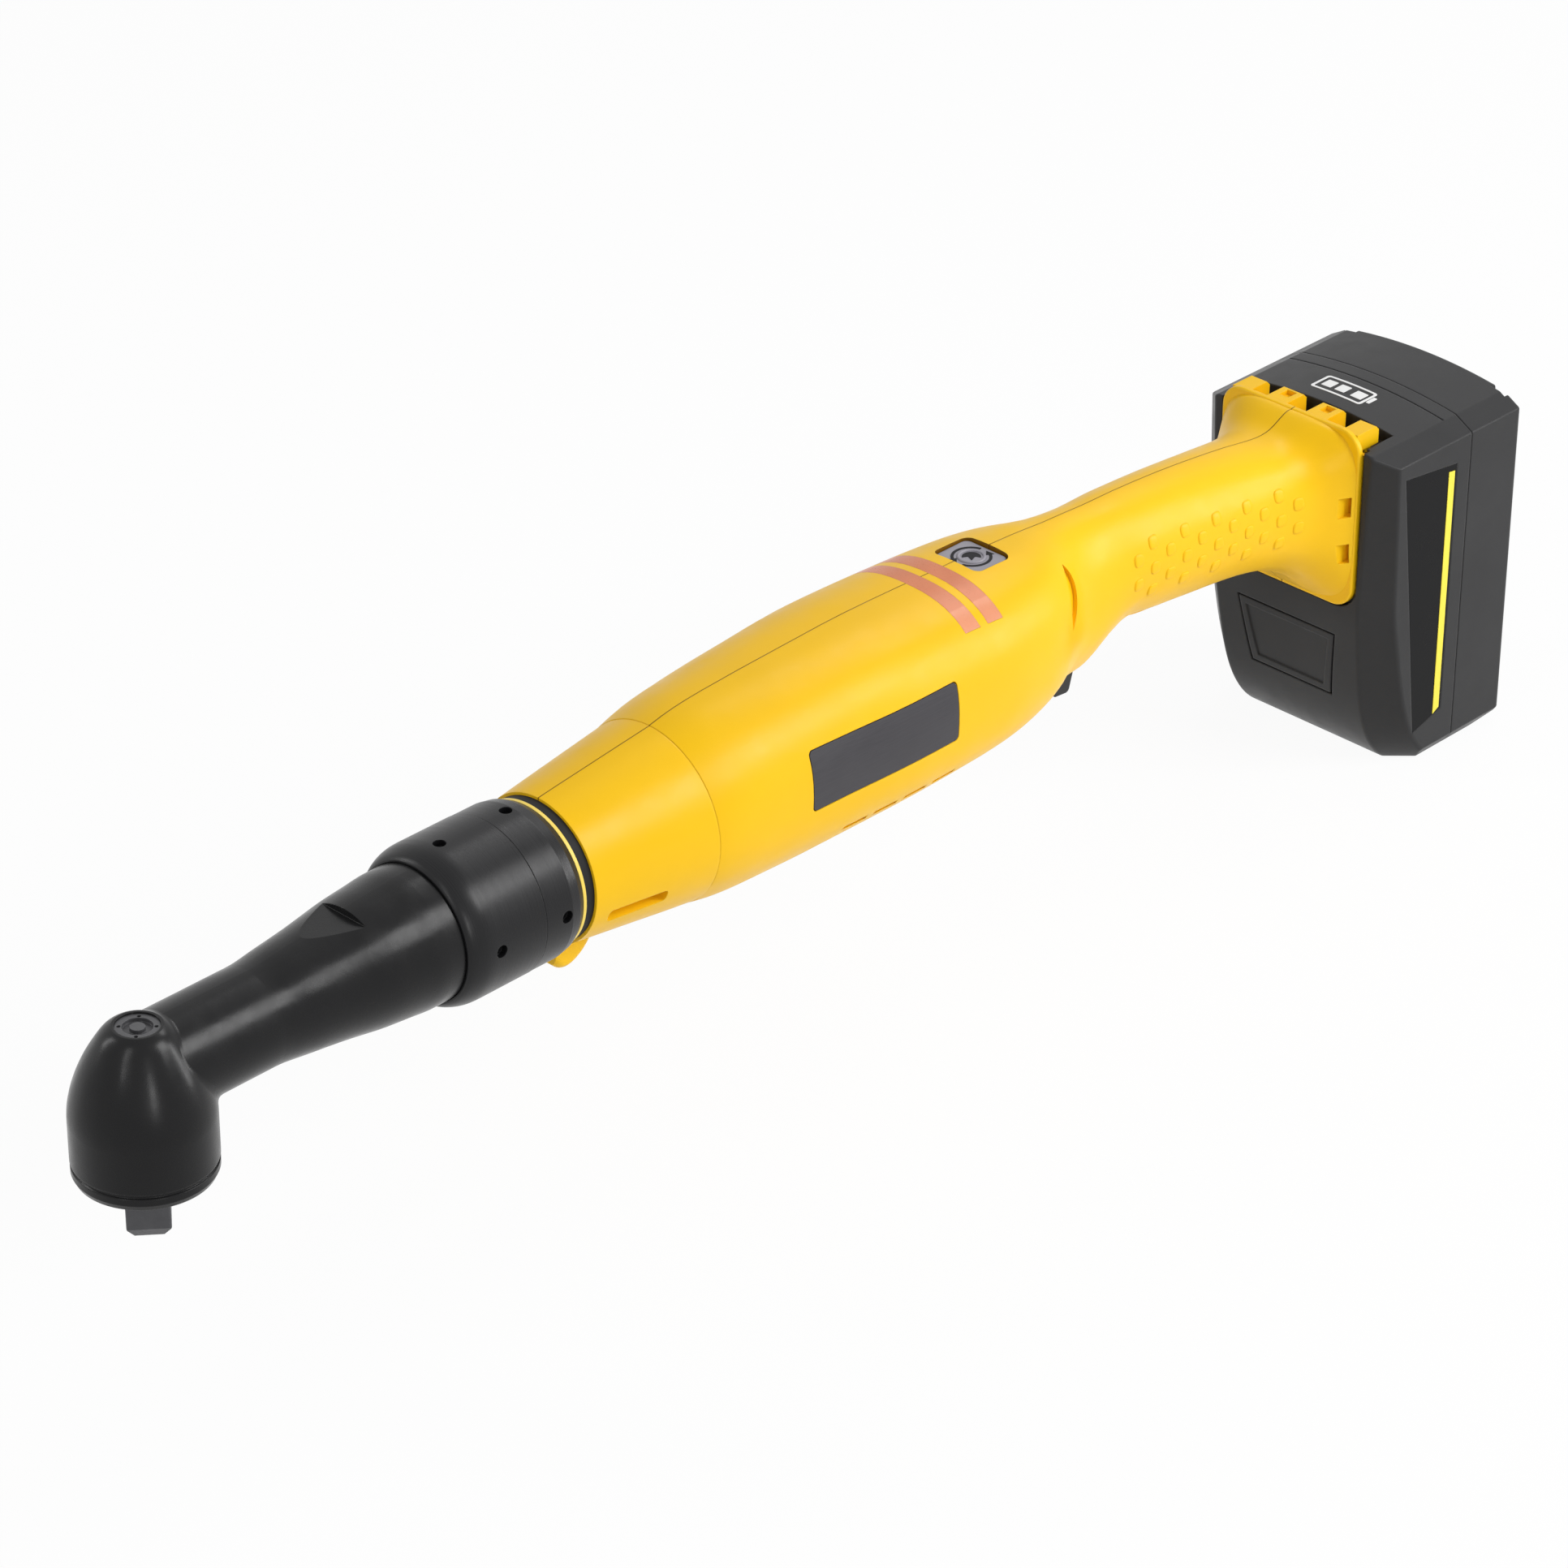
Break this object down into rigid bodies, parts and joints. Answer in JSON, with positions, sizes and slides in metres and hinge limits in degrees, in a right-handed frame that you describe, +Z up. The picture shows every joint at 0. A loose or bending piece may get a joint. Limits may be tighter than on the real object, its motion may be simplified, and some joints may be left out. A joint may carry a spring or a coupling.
{
  "type": "cordless angle nutrunner",
  "caption": "Cordless angle nutrunner: right-angle head with a square drive, coupling nut, motor body with light bands, slim handle with a trigger, and a slide-off battery pack.",
  "frame": {"origin": "middle of the square drive's end face, on the output axis", "axes": "+X along the tool from the angle head to the battery pack, +Z up along the output axis, away from the drive; the pictured side is -Y"},
  "size_m": [0.5842, 0.0796, 0.1357],
  "materials": {
    "yellow_plastic": "moulded satin",
    "black_plastic": "moulded satin",
    "panel_plastic": "fine matt",
    "label_film": "fine matt",
    "button_plastic": "satin",
    "amber_lens": "gloss",
    "clear_lens": "gloss",
    "inner_plastic": "moulded",
    "seal_rubber": "moulded",
    "head_metal": "black satin",
    "nut_steel": "blackened",
    "drive_steel": "blackened",
    "gear_steel": "ground",
    "bearing_steel": "polished",
    "screw_steel": "blackened",
    "spring_steel": "bright",
    "core_steel": "laminated",
    "magnet": "nickel plated",
    "can_aluminium": "machined",
    "copper": "enamelled wire",
    "contact_metal": "plated",
    "circuit_board": "solder mask",
    "cell_can": "shrink wrapped"
  },
  "bodies": {
    "tool": {"angle_head_housing": "head_metal", "head_cap": "head_metal", "head_plug": "head_metal", "spindle_seal": "seal_rubber", "needle_bearing": "bearing_steel", "spindle_bearing_outer": "bearing_steel", "shaft_bearings_outer": "bearing_steel", "ring_gear": "gear_steel", "gear_case": "can_aluminium", "coupling_nut": "nut_steel", "lock_ring": "nut_steel", "spacer_ring": "yellow_plastic", "front_seal": "seal_rubber", "stator_core": "core_steel", "stator_windings": "copper", "motor_can": "can_aluminium", "motor_bearings_outer": "bearing_steel", "housing_left": "yellow_plastic", "housing_right": "yellow_plastic", "housing_screws": "screw_steel", "light_bands": "amber_lens", "label_plates": "label_film", "button_switch": "inner_plastic", "light_board": "circuit_board", "trigger_pin": "bearing_steel", "trigger_spring": "spring_steel", "trigger_switch": "inner_plastic", "control_board": "circuit_board", "work_light_lens": "clear_lens", "terminal_block": "inner_plastic", "terminal_blades": "contact_metal"},
    "rotor": {"rotor_shaft": "gear_steel", "sun_gear": "gear_steel", "rotor_core": "core_steel", "rotor_magnets": "magnet", "motor_bearings_inner": "bearing_steel"},
    "carrier": {"pinion_shaft": "gear_steel", "planet_carrier": "gear_steel", "planet_pins": "gear_steel", "shaft_bearings_inner": "bearing_steel"},
    "spindle": {"output_spindle": "drive_steel", "crown_gear": "gear_steel", "spindle_bearing_inner": "bearing_steel", "detent_spring": "spring_steel"},
    "planet_1": {"planet_gear_1": "gear_steel"},
    "planet_2": {"planet_gear_2": "gear_steel"},
    "planet_3": {"planet_gear_3": "gear_steel"},
    "detent": {"detent_pin": "drive_steel"},
    "trigger": {"trigger": "black_plastic"},
    "function_button": {"function_button": "button_plastic"},
    "battery": {"battery_front_shell": "black_plastic", "battery_rear_shell": "black_plastic", "battery_screws": "screw_steel", "battery_cells": "cell_can", "cell_holders": "inner_plastic", "battery_board": "circuit_board", "battery_contacts": "contact_metal", "side_panels": "panel_plastic", "release_spring": "spring_steel"},
    "release_button": {"release_button": "black_plastic"}
  },
  "joints": [
    {"name": "rotor_spin", "type": "hinge", "parent": "tool", "child": "rotor", "pos_m": [0.237, 0, 0.051], "axis": [1, 0, 0], "continuous": true},
    {"name": "carrier_spin", "type": "hinge", "parent": "tool", "child": "carrier", "pos_m": [0.1, 0, 0.051], "axis": [1, 0, 0], "continuous": true},
    {"name": "spindle_spin", "type": "hinge", "parent": "tool", "child": "spindle", "pos_m": [0, 0, 0.02], "axis": [0, 0, 1], "continuous": true},
    {"name": "planet_1_spin", "type": "hinge", "parent": "carrier", "child": "planet_1", "pos_m": [0.168, 0.0108, 0.051], "axis": [1, 0, 0], "continuous": true},
    {"name": "planet_2_spin", "type": "hinge", "parent": "carrier", "child": "planet_2", "pos_m": [0.168, -0.0054, 0.06035], "axis": [1, 0, 0], "continuous": true},
    {"name": "planet_3_spin", "type": "hinge", "parent": "carrier", "child": "planet_3", "pos_m": [0.168, -0.0054, 0.04165], "axis": [1, 0, 0], "continuous": true},
    {"name": "detent_press", "type": "slide", "parent": "spindle", "child": "detent", "axis": [-0.6428, -0.766, 0], "range_m": [0, 0.0007], "stiffness_N_per_m": 2000, "springref_m": -0.001, "deforming": ["detent_spring"]},
    {"name": "trigger_pull", "type": "hinge", "parent": "tool", "child": "trigger", "pos_m": [0.363, 0, 0.039], "axis": [0, -1, 0], "range_deg": [0, 9], "stiffness_Nm_per_rad": 0.35, "springref_deg": -5.73, "deforming": ["trigger_spring"]},
    {"name": "function_button_press", "type": "slide", "parent": "tool", "child": "function_button", "axis": [0, 0, -1], "range_m": [0, 0.0008], "stiffness_N_per_m": 1500, "springref_m": -0.0006},
    {"name": "battery_slide", "type": "slide", "parent": "tool", "child": "battery", "axis": [0, 0, -1], "range_m": [0, 0.07]},
    {"name": "release_press", "type": "slide", "parent": "battery", "child": "release_button", "axis": [1, 0, 0], "range_m": [0, 0.0025], "stiffness_N_per_m": 1200, "springref_m": -0.002, "deforming": ["release_spring"]}
  ],
  "couplings": [
    {"joint": "carrier_spin", "follows": "rotor_spin", "ratio": 0.22222},
    {"joint": "spindle_spin", "follows": "rotor_spin", "ratio": 0.14815},
    {"joint": "planet_1_spin", "follows": "rotor_spin", "ratio": -0.62222},
    {"joint": "planet_2_spin", "follows": "rotor_spin", "ratio": -0.62222},
    {"joint": "planet_3_spin", "follows": "rotor_spin", "ratio": -0.62222}
  ]
}
